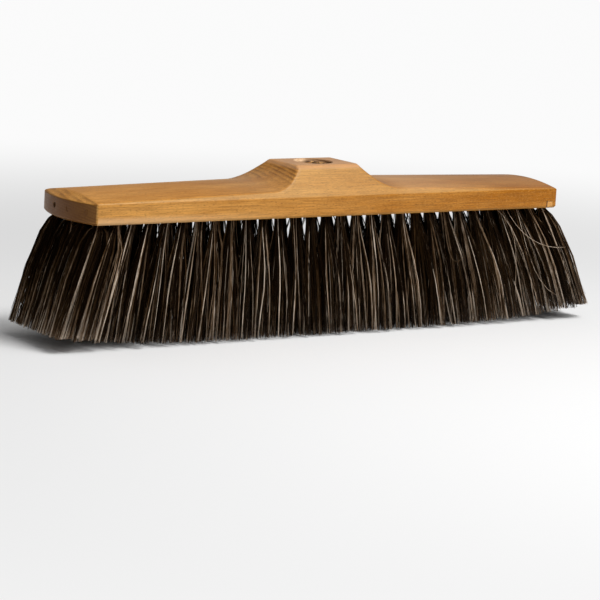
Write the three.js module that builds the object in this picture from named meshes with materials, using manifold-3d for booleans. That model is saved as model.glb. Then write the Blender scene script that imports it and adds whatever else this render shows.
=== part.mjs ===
// Push broom head: a one-piece beech block with a raised hub and a threaded handle
// socket, four rows of hair tufts, and a drawing wire and two wooden pegs for each row.
// Millimetres, +Z up. X runs along the block, -Y is the side shown in front, and the
// bristle tips stand on z = 0, with the origin in the middle of the space they take up.
import * as THREE from "three";
import { mergeVertices } from "three/addons/utils/BufferGeometryUtils.js";
import Module from "manifold-3d";

const wasm = await Module();
wasm.setup();

// ---- Driving dimensions -------------------------------------------------------------

// Wooden block, heights counted from its underside.
const BLOCK_LENGTH = 400; // over the bowed ends
const BLOCK_WIDTH = 72;
const END_BOW = 7.5; // how far each bowed end stands proud of its corners
const SIDE_HEIGHT = 13.8; // upright side and end faces
const CROWN = 3.7; // how much the arms' tops swell across the width
const END_STEP = 0.5; // sloping band above the side face, at the arms' ends
const FOOT_STEP = 3.5; // the same band where the hub begins
const UNDERSIDE_CHAMFER = 1.6;

// Raised hub in the middle of the block.
const HUB_HEIGHT = 33.8;
const HUB_TOP_LENGTH = 51;
const HUB_TOP_DEPTH = 38;
const SCOOP_RUN = 28; // length of the hollow curve from the hub's top to the arm

// Threaded socket for the handle.
const SOCKET_DEPTH = 22;
const THREAD_MINOR_RADIUS = 12.2;
const THREAD_MAJOR_RADIUS = 13.6;
const THREAD_PITCH = 4.5;
const THREAD_GROOVE_WIDTH = 3.24; // where the V-shaped groove opens into the bore
const THREAD_RUNOUT = 2.7; // plain bore below the first groove
const COUNTERSINK_RADIUS = 13.9;
const DRILL_POINT = 1.2; // height of the shallow cone that the drill leaves

// Tufts, in rows along the block and columns across it.
const TUFT_ROWS = 4;
const TUFT_COLUMNS = 30;
const END_MARGIN = 14; // from the bowed ends to the middle of the last tufts
const SIDE_MARGIN = 9; // from the sides to the middle of the outer rows
const TUFT_HOLE_WIDTH = 6;
const TUFT_DEPTH = 7; // how deep the tufts sit in the wood
const BRISTLE_LENGTH = 84; // from the underside to the trimmed tips
const FAN_REACH = 32.4; // how far the end tufts' tips lean out along the block
const FAN_POWER = 1.5; // the lean grows faster than the distance from the middle
const SWEEP = 7; // how far all the tips have been brushed to one side in use
const END_LIFT = 9; // how far the end tufts' tips stand clear of the floor
const LIFT_POWER = 4.5;
const ROW_LEAN = 1.6; // how far an outer row's tips lean out across the block
const STRANDS_ACROSS_TUFT = 2; // locks of hair in a tuft, each way
const STRAND_SIDES = 3;
const LOCK_ROOT_RADIUS = 1.25;
const LOCK_ROOT_OVERLAP = 0.5; // how far a lock reaches into the strip that holds it
const LOCK_TIP_RADIUS = 2.7;
const LOCK_TURN = 0.7; // radians that each lock's section is turned from the last one's
const TUFT_TIP_LENGTH = 11.8; // spread of a tuft's tips along the row
const TUFT_TIP_DEPTH = 16; // and across it
const TRIM = 0.5; // what the flat trim takes off the tips

// Drawing wires and pegs.
const WIRE_RADIUS = 0.6;
const CHANNEL_RADIUS = 2.2;
const PEG_SETBACK = 1.5; // the peg stops this far before the row's pocket

const CLEARANCE = 0.3; // between pieces that seat on each other
const PEG_CLEARANCE = 0.2; // around a peg in its channel

// ---- Sizes that follow --------------------------------------------------------------

const halfLength = BLOCK_LENGTH / 2;
const halfWidth = BLOCK_WIDTH / 2;
const underside = BRISTLE_LENGTH;
const bowRadius = (halfWidth ** 2 + END_BOW ** 2) / (2 * END_BOW);
const bowCentre = halfLength - bowRadius;
const hubEdge = HUB_TOP_LENGTH / 2;
const hubFoot = hubEdge + SCOOP_RUN;
const sideSlope = (HUB_HEIGHT - SIDE_HEIGHT) / (halfWidth - HUB_TOP_DEPTH / 2);
const footHeight = SIDE_HEIGHT + FOOT_STEP;
const scoopRise = HUB_HEIGHT - footHeight;
const scoopRadius = (SCOOP_RUN ** 2 + scoopRise ** 2) / (2 * scoopRise);
const rowReach = halfLength - END_MARGIN;
const tuftPitch = (2 * rowReach) / (TUFT_COLUMNS - 1);
const outerRow = halfWidth - SIDE_MARGIN;
const rowSpacing = (2 * outerRow) / (TUFT_ROWS - 1);
const stripHalfLength = rowReach + TUFT_HOLE_WIDTH / 2;
const pocketHalfLength = stripHalfLength + CLEARANCE;
const wireHeight = underside + TUFT_DEPTH + CLEARANCE + WIRE_RADIUS;
const pegInnerEnd = pocketHalfLength + PEG_SETBACK;
const OVERRUN = 5; // how far cutting shapes pass the faces that they cut

// ---- Materials ----------------------------------------------------------------------

const wood = new THREE.MeshStandardMaterial({ color: 0xcf9a58, roughness: 0.38, metalness: 0 });
const pegWood = new THREE.MeshStandardMaterial({ color: 0xa87a45, roughness: 0.6, metalness: 0 });
const hair = new THREE.MeshStandardMaterial({ color: 0x1d1916, roughness: 0.55, metalness: 0 });
const steel = new THREE.MeshStandardMaterial({ color: 0xb4b4b0, roughness: 0.35, metalness: 1 });

// ---- Helpers ------------------------------------------------------------------------

// A closed geometry as a solid that can be joined and cut.
function solidOf(geometry) {
  const bare = geometry.clone();
  bare.deleteAttribute("normal");
  bare.deleteAttribute("uv");
  const merged = mergeVertices(bare, 1e-4);
  return new wasm.Manifold(
    new wasm.Mesh({
      numProp: 3,
      vertProperties: new Float32Array(merged.attributes.position.array),
      triVerts: new Uint32Array(merged.index.array),
    }),
  );
}

// A solid as a named mesh.
function meshOf(name, solid, material) {
  const { vertProperties, triVerts } = solid.getMesh();
  const geometry = new THREE.BufferGeometry();
  geometry.setAttribute("position", new THREE.BufferAttribute(vertProperties, 3));
  geometry.setIndex(new THREE.BufferAttribute(triVerts, 1));
  geometry.computeVertexNormals();
  const mesh = new THREE.Mesh(geometry, material);
  mesh.name = name;
  return mesh;
}

// A skin over rings of points, each ring convex and turning the same way about the
// direction in which the rings follow one another, closed with a cap at either end.
function loft(rings) {
  const count = rings[0].length;
  const points = rings.flat();
  const faces = [];
  for (let ring = 0; ring < rings.length - 1; ring++) {
    for (let i = 0; i < count; i++) {
      const near = ring * count;
      const far = near + count;
      const next = (i + 1) % count;
      faces.push(near + i, near + next, far + i);
      faces.push(near + next, far + next, far + i);
    }
  }
  const last = (rings.length - 1) * count;
  for (let i = 1; i < count - 1; i++) {
    faces.push(0, i + 1, i);
    faces.push(last, last + i, last + i + 1);
  }
  const geometry = new THREE.BufferGeometry().setFromPoints(points);
  geometry.setIndex(faces);
  return solidOf(geometry);
}

function box(low, high) {
  const size = new THREE.Vector3().subVectors(high, low);
  const middle = new THREE.Vector3().addVectors(low, high).multiplyScalar(0.5);
  const geometry = new THREE.BoxGeometry(size.x, size.y, size.z);
  return solidOf(geometry.translate(middle.x, middle.y, middle.z));
}

// A round bar along X.
function barAlongX(radius, fromX, toX, y, z, sides) {
  const geometry = new THREE.CylinderGeometry(radius, radius, toX - fromX, sides);
  geometry.rotateZ(-Math.PI / 2);
  return solidOf(geometry.translate((fromX + toX) / 2, y, z));
}

// A profile of [radius, height] points turned about an upright axis.
function turned(profile, x, segments) {
  const points = profile.map(([radius, height]) => new THREE.Vector2(radius, height));
  const geometry = new THREE.LatheGeometry(points, segments);
  geometry.rotateX(Math.PI / 2);
  return solidOf(geometry.translate(x, 0, 0));
}

// ---- Wooden block -------------------------------------------------------------------

// Height of the block's top, above its underside, before the swell across its width.
function topHeight(x) {
  const out = Math.abs(x);
  if (out <= hubEdge) return HUB_HEIGHT;
  if (out <= hubFoot) {
    return footHeight + scoopRadius - Math.sqrt(scoopRadius ** 2 - (hubFoot - out) ** 2);
  }
  const share = (halfLength - out) / (halfLength - hubFoot);
  return SIDE_HEIGHT + END_STEP + (FOOT_STEP - END_STEP) * share;
}

// The swell fades out up the hollow curves, so that the hub's top is flat.
function crownHeight(x) {
  const above = (HUB_HEIGHT - topHeight(x)) / scoopRise;
  return CROWN * Math.min(1, Math.max(0, above));
}

// How far the sloping side has leant in where it meets the swollen top.
function leanIn(rise, crown) {
  const square = crown / halfWidth ** 2;
  const linear = sideSlope - (2 * crown) / halfWidth;
  return (2 * rise) / (linear + Math.sqrt(linear ** 2 + 4 * square * rise));
}

// The block's section at x, as a ring that runs along the underside and back over the top.
function blockSection(x) {
  const topSteps = 12;
  const crown = crownHeight(x);
  const top = topHeight(x);
  const edge = halfWidth - leanIn(top - SIDE_HEIGHT, crown);
  const ring = [];
  const add = (y, z) => ring.push(new THREE.Vector3(x, y, underside + z));
  add(-halfWidth + UNDERSIDE_CHAMFER, 0);
  add(halfWidth - UNDERSIDE_CHAMFER, 0);
  add(halfWidth, UNDERSIDE_CHAMFER);
  add(halfWidth, SIDE_HEIGHT);
  for (let i = 0; i <= topSteps; i++) {
    const y = edge - (2 * edge * i) / topSteps;
    add(y, top + crown * (1 - (y / halfWidth) ** 2));
  }
  add(-halfWidth, SIDE_HEIGHT);
  add(-halfWidth, UNDERSIDE_CHAMFER);
  return ring;
}

function blockStations() {
  const scoopSteps = 10;
  const right = [hubEdge];
  for (let i = 1; i <= scoopSteps; i++) right.push(hubEdge + (SCOOP_RUN * i) / scoopSteps);
  right.push(halfLength + END_STEP);
  const left = right.map((x) => -x).reverse();
  return [...left, ...right];
}

// The outline that the bowed ends and their sloping top edges give the block: a turned
// end on the right, its mirror image on the left, and a plain box between them.
function endEnvelope() {
  const bevelSlope = CROWN / END_BOW;
  const peak = SIDE_HEIGHT + bowRadius * bevelSlope;
  const profile = [
    [0, 0],
    [bowRadius - UNDERSIDE_CHAMFER, 0],
    [bowRadius, UNDERSIDE_CHAMFER],
    [bowRadius, SIDE_HEIGHT],
    [0, peak],
  ].map(([radius, height]) => [radius, underside + height]);
  const segments = 120;
  const middle = box(
    new THREE.Vector3(-bowCentre, -halfWidth - OVERRUN, underside - OVERRUN),
    new THREE.Vector3(bowCentre, halfWidth + OVERRUN, underside + HUB_HEIGHT + OVERRUN),
  );
  return middle.add(turned(profile, bowCentre, segments)).add(turned(profile, -bowCentre, segments));
}

// The helical groove of the socket's thread, one V-shaped section carried round the axis.
function threadGroove() {
  const stepsPerTurn = 28;
  const innerEdge = THREAD_MINOR_RADIUS - 1; // inside the bore, so that the two cuts join
  const halfOpening = THREAD_GROOVE_WIDTH / 2;
  const start = underside + HUB_HEIGHT - SOCKET_DEPTH + THREAD_RUNOUT;
  const climb = SOCKET_DEPTH - THREAD_RUNOUT + THREAD_PITCH; // one turn past the mouth
  const steps = Math.round((climb / THREAD_PITCH) * stepsPerTurn);
  const rings = [];
  for (let i = 0; i <= steps; i++) {
    const angle = (2 * Math.PI * i) / stepsPerTurn;
    const height = start + (THREAD_PITCH * i) / stepsPerTurn;
    const at = (radius, z) =>
      new THREE.Vector3(radius * Math.cos(angle), radius * Math.sin(angle), z);
    rings.push([
      at(innerEdge, height + halfOpening),
      at(THREAD_MAJOR_RADIUS, height),
      at(innerEdge, height - halfOpening),
    ]);
  }
  return loft(rings);
}

function handleSocket() {
  const top = underside + HUB_HEIGHT;
  const floor = top - SOCKET_DEPTH;
  const countersink = COUNTERSINK_RADIUS - THREAD_MINOR_RADIUS;
  const bore = turned(
    [
      [0, floor - DRILL_POINT],
      [THREAD_MINOR_RADIUS, floor],
      [THREAD_MINOR_RADIUS, top - countersink],
      [COUNTERSINK_RADIUS, top],
      [COUNTERSINK_RADIUS + OVERRUN, top + OVERRUN],
      [0, top + OVERRUN],
    ],
    0,
    56,
  );
  return bore.add(threadGroove());
}

const rowPositions = [];
for (let row = 0; row < TUFT_ROWS; row++) {
  rowPositions.push(-outerRow + row * rowSpacing);
}

function broomBlock(envelope) {
  let block = loft(blockStations().map(blockSection)).intersect(envelope);
  for (const y of rowPositions) {
    const halfPocket = TUFT_HOLE_WIDTH / 2 + CLEARANCE;
    const pocket = box(
      new THREE.Vector3(-pocketHalfLength, y - halfPocket, underside - OVERRUN),
      new THREE.Vector3(pocketHalfLength, y + halfPocket, underside + TUFT_DEPTH + CLEARANCE),
    );
    const reach = halfLength + OVERRUN;
    const channel = barAlongX(CHANNEL_RADIUS, -reach, reach, y, wireHeight, 20);
    block = block.subtract(pocket).subtract(channel);
  }
  return meshOf("broom_block", block.subtract(handleSocket()), wood);
}

// ---- Bristle rows -------------------------------------------------------------------

// How far the tips of a tuft at x stand from it along the block, and from the floor.
function tipOffset(x) {
  const share = Math.abs(x) / rowReach;
  const along = SWEEP + Math.sign(x) * FAN_REACH * share ** FAN_POWER;
  return { along, up: END_LIFT * share ** LIFT_POWER };
}

// One lock of hair, from inside its backing to just below the trim.
function strand(root, tip, turn) {
  const corner = (centre, radius, i) => {
    const angle = (2 * Math.PI * i) / STRAND_SIDES + turn;
    const across = radius * Math.cos(angle);
    return new THREE.Vector3(centre.x + across, centre.y + radius * Math.sin(angle), centre.z);
  };
  const corners = [...Array(STRAND_SIDES).keys()];
  return loft([
    corners.map((i) => corner(tip, LOCK_TIP_RADIUS, i)),
    corners.map((i) => corner(root, LOCK_ROOT_RADIUS, i)),
  ]);
}

function tuftStrands(x, y, turn) {
  const rootSpread = TUFT_HOLE_WIDTH - 2 * LOCK_ROOT_RADIUS - 2 * CLEARANCE;
  const rootZ = underside + LOCK_ROOT_OVERLAP;
  const tipLength = TUFT_TIP_LENGTH - 2 * LOCK_TIP_RADIUS;
  const tipDepth = TUFT_TIP_DEPTH - 2 * LOCK_TIP_RADIUS;
  const offset = tipOffset(x);
  const tipX = x + offset.along;
  const tipY = y + (ROW_LEAN * y) / outerRow;
  const tipZ = offset.up - TRIM;
  const strands = [];
  for (let i = 0; i < STRANDS_ACROSS_TUFT; i++) {
    for (let j = 0; j < STRANDS_ACROSS_TUFT; j++) {
      const along = i / (STRANDS_ACROSS_TUFT - 1) - 0.5;
      const across = j / (STRANDS_ACROSS_TUFT - 1) - 0.5;
      const root = new THREE.Vector3(x + along * rootSpread, y + across * rootSpread, rootZ);
      const tip = new THREE.Vector3(tipX + along * tipLength, tipY + across * tipDepth, tipZ);
      strands.push(strand(root, tip, turn + strands.length * LOCK_TURN));
    }
  }
  return strands;
}

// A row of tufts on the strip that holds their roots, trimmed flat at the tips.
function bristleRow(name, y) {
  const halfStrip = TUFT_HOLE_WIDTH / 2;
  const strip = box(
    new THREE.Vector3(-stripHalfLength, y - halfStrip, underside),
    new THREE.Vector3(stripHalfLength, y + halfStrip, underside + TUFT_DEPTH),
  );
  const strands = [];
  for (let column = 0; column < TUFT_COLUMNS; column++) {
    const turn = strands.length * LOCK_TURN;
    strands.push(...tuftStrands(-rowReach + column * tuftPitch, y, turn));
  }
  const reach = BLOCK_LENGTH;
  const belowTrim = box(
    new THREE.Vector3(-reach, -reach, -OVERRUN - TRIM),
    new THREE.Vector3(reach, reach, 0),
  );
  return meshOf(name, wasm.Manifold.union([strip, ...strands]).subtract(belowTrim), hair);
}

// ---- Wires and pegs -----------------------------------------------------------------

function drawingWire(name, y) {
  const reach = pegInnerEnd - CLEARANCE;
  return meshOf(name, barAlongX(WIRE_RADIUS, -reach, reach, y, wireHeight, 10), steel);
}

// A peg fills the end of its channel and is cut flush with the bowed end.
function channelPeg(name, y, side, envelope) {
  const inner = side * pegInnerEnd;
  const outer = side * (halfLength + OVERRUN);
  const radius = CHANNEL_RADIUS - PEG_CLEARANCE;
  const bar = barAlongX(radius, Math.min(inner, outer), Math.max(inner, outer), y, wireHeight, 20);
  return meshOf(name, bar.intersect(envelope), pegWood);
}

// ---- Assembly -----------------------------------------------------------------------

// The head is built about the middle of its block, then moved so that the space that the
// swept tips take up is centred on the origin.
const head = new THREE.Group();
head.position.x = -SWEEP;
const envelope = endEnvelope();
head.add(broomBlock(envelope));
rowPositions.forEach((y, row) => {
  const number = row + 1;
  head.add(bristleRow(`bristle_row_${number}`, y));
  head.add(drawingWire(`drawing_wire_${number}`, y));
  head.add(channelPeg(`peg_left_${number}`, y, -1, envelope));
  head.add(channelPeg(`peg_right_${number}`, y, 1, envelope));
});

const broom = new THREE.Group();
broom.add(head);

export default broom;
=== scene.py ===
"""Looks of the push broom head: lacquered beech block, pegs, and four rows of hair tufts.

Shapes are worked out in millimetres in the block's own frame (x from the middle of the block,
y from its centre line, z from its underside). They are moved into the row frame, in metres, when
a mesh is made. Materials use the row frame's metres.
"""
import math

import bpy
import numpy as np
from mathutils import Matrix, Vector


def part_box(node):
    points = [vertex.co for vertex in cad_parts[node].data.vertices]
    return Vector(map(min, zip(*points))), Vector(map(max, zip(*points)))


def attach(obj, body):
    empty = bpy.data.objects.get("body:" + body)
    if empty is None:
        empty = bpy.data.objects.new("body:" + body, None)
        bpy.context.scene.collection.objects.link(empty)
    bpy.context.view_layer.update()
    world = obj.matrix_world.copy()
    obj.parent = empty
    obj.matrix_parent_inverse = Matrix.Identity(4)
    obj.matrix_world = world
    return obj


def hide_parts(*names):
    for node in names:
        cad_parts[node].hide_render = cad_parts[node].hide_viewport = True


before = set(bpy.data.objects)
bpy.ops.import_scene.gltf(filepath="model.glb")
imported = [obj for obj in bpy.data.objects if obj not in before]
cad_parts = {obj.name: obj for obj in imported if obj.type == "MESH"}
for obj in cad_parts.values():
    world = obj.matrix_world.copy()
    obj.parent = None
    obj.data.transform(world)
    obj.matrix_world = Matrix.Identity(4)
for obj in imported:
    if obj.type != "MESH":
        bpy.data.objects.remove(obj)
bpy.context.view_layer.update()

MM = 0.001
SEED = 20

# ---- Driving dimensions, in millimetres ----------------------------------------------------

# Block. Length, width, hub height and the height of the underside come from the frame.
END_BOW = 7.5
SIDE_HEIGHT = 13.8
CROWN = 3.7
END_STEP = 0.5
FOOT_STEP = 3.5
UNDERSIDE_CHAMFER = 1.6
HUB_TOP_LENGTH = 51.0
HUB_TOP_DEPTH = 38.0
SCOOP_RUN = 28.0
EDGE_ROUND = 0.7  # sanded edge between the sides and the tops
RIDGE_ROUND = 1.1  # sanded ridges of the arms and the scoops
HUB_ROUND = 4.0  # the hub's top runs softly into its long sides
CORNER_ROUND = 1.5  # upright corners

# Threaded socket.
SOCKET_DEPTH = 22.0
THREAD_MINOR_RADIUS = 12.2
THREAD_MAJOR_RADIUS = 13.6
THREAD_PITCH = 4.5
THREAD_GROOVE_WIDTH = 3.24
THREAD_RUNOUT = 2.7
COUNTERSINK_RADIUS = 13.9
DRILL_POINT = 1.2

# Tufts.
TUFT_ROWS = 4
TUFT_COLUMNS = 30
END_MARGIN = 14.0
SIDE_MARGIN = 9.0
TUFT_HOLE_RADIUS = 3.0
TUFT_DEPTH = 7.0
TUFT_DRILL_POINT = 1.0
FAN_REACH = 32.4
FAN_POWER = 1.5
SWEEP = 7.0
END_LIFT = 9.0
LIFT_POWER = 4.5
ROW_LEAN = 1.6

# Chip at the foot of the front face, near its right end: (x, y, height) round the cut.
CHIP = [
    (183.4, -36.4, 5.2),
    (184.1, -35.2, 5.5),
    (184.9, -35.6, 5.8),
    (189.2, -35.8, 5.1),
    (189.7, -36.4, 4.6),
]

# Wire channels and the pegs in their ends.
CHANNEL_RADIUS = 2.04  # the pegs have swollen tight
CLEARANCE = 0.3
WIRE_RADIUS = 0.6

# ---- Sizes that follow ---------------------------------------------------------------------

block_low, block_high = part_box("broom_block")
CENTRE_X = (block_low.x + block_high.x) / 2 / MM
UNDERSIDE = block_low.z / MM
HALF_LENGTH = (block_high.x - block_low.x) / 2 / MM
HALF_WIDTH = (block_high.y - block_low.y) / 2 / MM
HUB_HEIGHT = (block_high.z - block_low.z) / MM
BOW_RADIUS = (HALF_WIDTH**2 + END_BOW**2) / (2 * END_BOW)
BOW_CENTRE = HALF_LENGTH - BOW_RADIUS
HUB_EDGE = HUB_TOP_LENGTH / 2
HUB_FOOT = HUB_EDGE + SCOOP_RUN
FOOT_HEIGHT = SIDE_HEIGHT + FOOT_STEP
SCOOP_RISE = HUB_HEIGHT - FOOT_HEIGHT
SCOOP_RADIUS = (SCOOP_RUN**2 + SCOOP_RISE**2) / (2 * SCOOP_RISE)
SIDE_SLOPE = (HUB_HEIGHT - SIDE_HEIGHT) / (HALF_WIDTH - HUB_TOP_DEPTH / 2)
ROW_REACH = HALF_LENGTH - END_MARGIN
OUTER_ROW = HALF_WIDTH - SIDE_MARGIN
TUFT_PITCH = 2 * ROW_REACH / (TUFT_COLUMNS - 1)
ROW_SPACING = 2 * OUTER_ROW / (TUFT_ROWS - 1)
ROWS = [-OUTER_ROW + row * ROW_SPACING for row in range(TUFT_ROWS)]
COLUMNS = [-ROW_REACH + column * TUFT_PITCH for column in range(TUFT_COLUMNS)]
WIRE_HEIGHT = TUFT_DEPTH + CLEARANCE + WIRE_RADIUS


# ---- Mesh helpers --------------------------------------------------------------------------


def to_row_frame(points):
    """Points of the block's own frame, in millimetres, as row-frame metres."""
    return (np.asarray(points, float) + [CENTRE_X, 0.0, UNDERSIDE]) * MM


def add_object(name, data):
    made = bpy.data.objects.new(name, data)
    bpy.context.scene.collection.objects.link(made)
    return made


def mesh_object(name, points, faces):
    mesh = bpy.data.meshes.new(name)
    mesh.from_pydata(to_row_frame(points).tolist(), [], faces)
    mesh.update()
    return add_object(name, mesh)


def smoothstep(value, low, high):
    share = np.clip((value - low) / (high - low), 0.0, 1.0)
    return share * share * (3 - 2 * share)


def soft_minimum(a, b, blend):
    """The lower of two heights, with the ridge where they meet rounded off."""
    overlap = np.maximum(blend - np.abs(a - b), 0.0) / blend
    return np.minimum(a, b) - overlap**2 * blend / 4


def grid_faces(rows, columns):
    """Quads of a grid whose points are stored row by row."""
    faces = []
    for row in range(rows - 1):
        for column in range(columns - 1):
            near = row * columns + column
            far = near + columns
            faces.append((near, near + 1, far + 1, far))
    return faces


def ring_faces(first, second, count):
    """Quads between two closed loops of points, given by where each loop starts."""
    return [
        (first + i, second + i, second + (i + 1) % count, first + (i + 1) % count)
        for i in range(count)
    ]


def cap_faces(low_tip, low, high_tip, high, count):
    """Triangles that close two loops with a tip each."""
    faces = []
    for i in range(count):
        following = (i + 1) % count
        faces.append((low_tip, low + following, low + i))
        faces.append((high_tip, high + i, high + following))
    return faces


# ---- Wooden block --------------------------------------------------------------------------


def plan_corner():
    """Centre of the round upright corner, in the quarter where x and y are positive."""
    y = HALF_WIDTH - CORNER_ROUND
    return BOW_CENTRE + math.sqrt((BOW_RADIUS - CORNER_ROUND) ** 2 - y**2), y


def end_reach(y):
    """How far the block reaches along x at this y, bow and round corner included."""
    corner_x, corner_y = plan_corner()
    out = np.abs(y)
    turn = corner_y * BOW_RADIUS / (BOW_RADIUS - CORNER_ROUND)
    bow = BOW_CENTRE + np.sqrt(BOW_RADIUS**2 - np.minimum(out, turn) ** 2)
    corner = corner_x + np.sqrt(np.maximum(CORNER_ROUND**2 - (out - corner_y) ** 2, 0.0))
    return np.where(out > turn, corner, bow)


def distance_inside(x, y):
    """Distance of a point of the plan from the block's outline."""
    corner_x, corner_y = plan_corner()
    along, across = np.abs(x), np.abs(y)
    from_side = HALF_WIDTH - across
    from_end = BOW_RADIUS - np.hypot(along - BOW_CENTRE, across)
    from_end = np.where(along > BOW_CENTRE, from_end, BOW_RADIUS)
    turn = np.arctan2(across - corner_y, along - corner_x)
    in_corner = (turn > math.asin(corner_y / (BOW_RADIUS - CORNER_ROUND))) & (turn < math.pi / 2)
    from_corner = CORNER_ROUND - np.hypot(along - corner_x, across - corner_y)
    return np.where(in_corner, from_corner, np.minimum(from_side, from_end))


def arm_height(x):
    """Height of the top along the block, scoops and hub included, without its swell."""
    out = np.abs(x)
    share = (HALF_LENGTH - out) / (HALF_LENGTH - HUB_FOOT)
    arm = SIDE_HEIGHT + END_STEP + (FOOT_STEP - END_STEP) * share
    run = np.clip(HUB_FOOT - out, 0.0, SCOOP_RADIUS * 0.999)
    scoop = FOOT_HEIGHT + SCOOP_RADIUS - np.sqrt(SCOOP_RADIUS**2 - run**2)
    rise = np.where(out < HUB_FOOT, scoop, arm)
    return soft_minimum(rise, np.full_like(rise, HUB_HEIGHT), RIDGE_ROUND)


def top_surface(x, y):
    """Height of the block's upper surface above its underside."""
    spine = arm_height(x)
    climb = np.clip((HUB_HEIGHT - spine) / SCOOP_RISE, 0.0, 1.0)
    top = spine + CROWN * climb * (1 - (y / HALF_WIDTH) ** 2)
    band = SIDE_HEIGHT + SIDE_SLOPE * (HALF_WIDTH - np.abs(y))
    blend = RIDGE_ROUND + (HUB_ROUND - RIDGE_ROUND) * smoothstep(1 - climb, 0.5, 1.0)
    height = soft_minimum(top, band, blend)
    from_bow = BOW_RADIUS - np.hypot(np.abs(x) - BOW_CENTRE, y)
    bevel = SIDE_HEIGHT + from_bow * CROWN / END_BOW
    bevel = np.where(np.abs(x) > BOW_CENTRE, bevel, HUB_HEIGHT * 2)
    height = soft_minimum(height, bevel, RIDGE_ROUND * 0.4)
    inside = np.clip(distance_inside(x, y) / EDGE_ROUND, 0.0, 1.0)
    return height - EDGE_ROUND * (1 - np.sqrt(1 - (1 - inside) ** 2))


def mirrored(stations):
    """Stations on both sides of nought, in order."""
    positive = np.asarray(sorted(set(np.round(stations, 4))))
    return np.concatenate([-positive[::-1][positive[::-1] > 0], positive])


def block_stations():
    """Grid lines across and along the block, close together where the surface turns."""
    near_edge = np.array([1.3, 0.92, 0.7, 0.45, 0.25, 0.12, 0.04, 0.0])
    lengthwise = [np.arange(0, 60, 0.7), np.arange(60, 184, 2.0), np.arange(184, 198, 0.8)]
    lengthwise = np.concatenate([*lengthwise, HALF_LENGTH - near_edge])
    crosswise = np.concatenate([np.arange(0, 34.6, 0.75), HALF_WIDTH - near_edge])
    return mirrored(lengthwise), mirrored(crosswise)


def chamfer_profile():
    """(inset, height) points down the wall's foot and round the chamfer to the underside."""
    soften = 0.35
    corners = [(0.0, UNDERSIDE_CHAMFER + soften), (0.0, UNDERSIDE_CHAMFER - 0.1)]
    corners += [(0.12, UNDERSIDE_CHAMFER - soften), (UNDERSIDE_CHAMFER - soften, 0.12)]
    return corners + [(UNDERSIDE_CHAMFER - 0.1, 0.0), (UNDERSIDE_CHAMFER + soften, 0.0)]


def block_skin():
    """Points and faces of the block before it is drilled."""
    wall_rows = 6
    along, across = block_stations()
    station, y = np.meshgrid(along, across)
    bend = smoothstep(np.abs(station), 140.0, HALF_LENGTH)
    x = station + np.sign(station) * bend * (end_reach(y) - HALF_LENGTH)
    top = np.stack([x, y, top_surface(x, y)], axis=-1)
    points = [top.reshape(-1, 3)]
    faces = grid_faces(len(across), len(along))

    last_row, last_column = len(across) - 1, len(along) - 1
    index = np.arange(len(across) * len(along)).reshape(len(across), len(along))
    rim = np.concatenate(
        [index[0, :last_column], index[:last_row, last_column], index[last_row, :0:-1], index[:0:-1, 0]]
    )
    outline = points[0][rim]
    tangent = np.roll(outline, -1, axis=0) - np.roll(outline, 1, axis=0)
    outward = np.stack([tangent[:, 1], -tangent[:, 0], 0 * tangent[:, 0]], axis=-1)
    outward /= np.linalg.norm(outward, axis=1, keepdims=True)

    foot = chamfer_profile()
    loops = []
    for row in range(1, wall_rows):
        share = row / wall_rows
        lowered = outline.copy()
        lowered[:, 2] = outline[:, 2] * (1 - share) + foot[0][1] * share
        loops.append(lowered)
    for inset, height in foot:
        lowered = outline - outward * inset
        lowered[:, 2] = height
        loops.append(lowered)

    count = len(rim)
    start = len(points[0])
    faces += [(rim[i], start + i, start + (i + 1) % count, rim[(i + 1) % count]) for i in range(count)]
    for loop in range(len(loops) - 1):
        faces += ring_faces(start + loop * count, start + (loop + 1) * count, count)
    last = start + (len(loops) - 1) * count
    faces.append(tuple(range(last + count - 1, last - 1, -1)))
    points += loops
    return np.concatenate(points), [tuple(int(i) for i in face) for face in faces]


def cylinder(axis, radius, start, end, centre, sides=32, point=0.0):
    """Points and faces of a cylinder along "x" or "z", its end drawn to a shallow point."""
    turn = np.arange(sides) * 2 * math.pi / sides
    ring = np.stack([np.cos(turn), np.sin(turn)], axis=-1) * radius
    points = []
    for reach in (start, end):
        if axis == "x":
            loop = np.stack([np.full(sides, reach), centre[0] + ring[:, 0], centre[1] + ring[:, 1]], -1)
        else:
            loop = np.stack([centre[0] + ring[:, 0], centre[1] + ring[:, 1], np.full(sides, reach)], -1)
        points.append(loop)
    for tip in (start, end + point):
        points.append([[tip, *centre]] if axis == "x" else [[*centre, tip]])
    faces = ring_faces(sides, 0, sides) + cap_faces(2 * sides, 0, 2 * sides + 1, sides, sides)
    return np.concatenate(points), faces


def joined(name, parts):
    """One object of several (points, faces) that don't touch."""
    points, faces, offset = [], [], 0
    for part_points, part_faces in parts:
        points.append(part_points)
        faces += [tuple(int(i) + offset for i in face) for face in part_faces]
        offset += len(part_points)
    return mesh_object(name, np.concatenate(points), faces)


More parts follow.
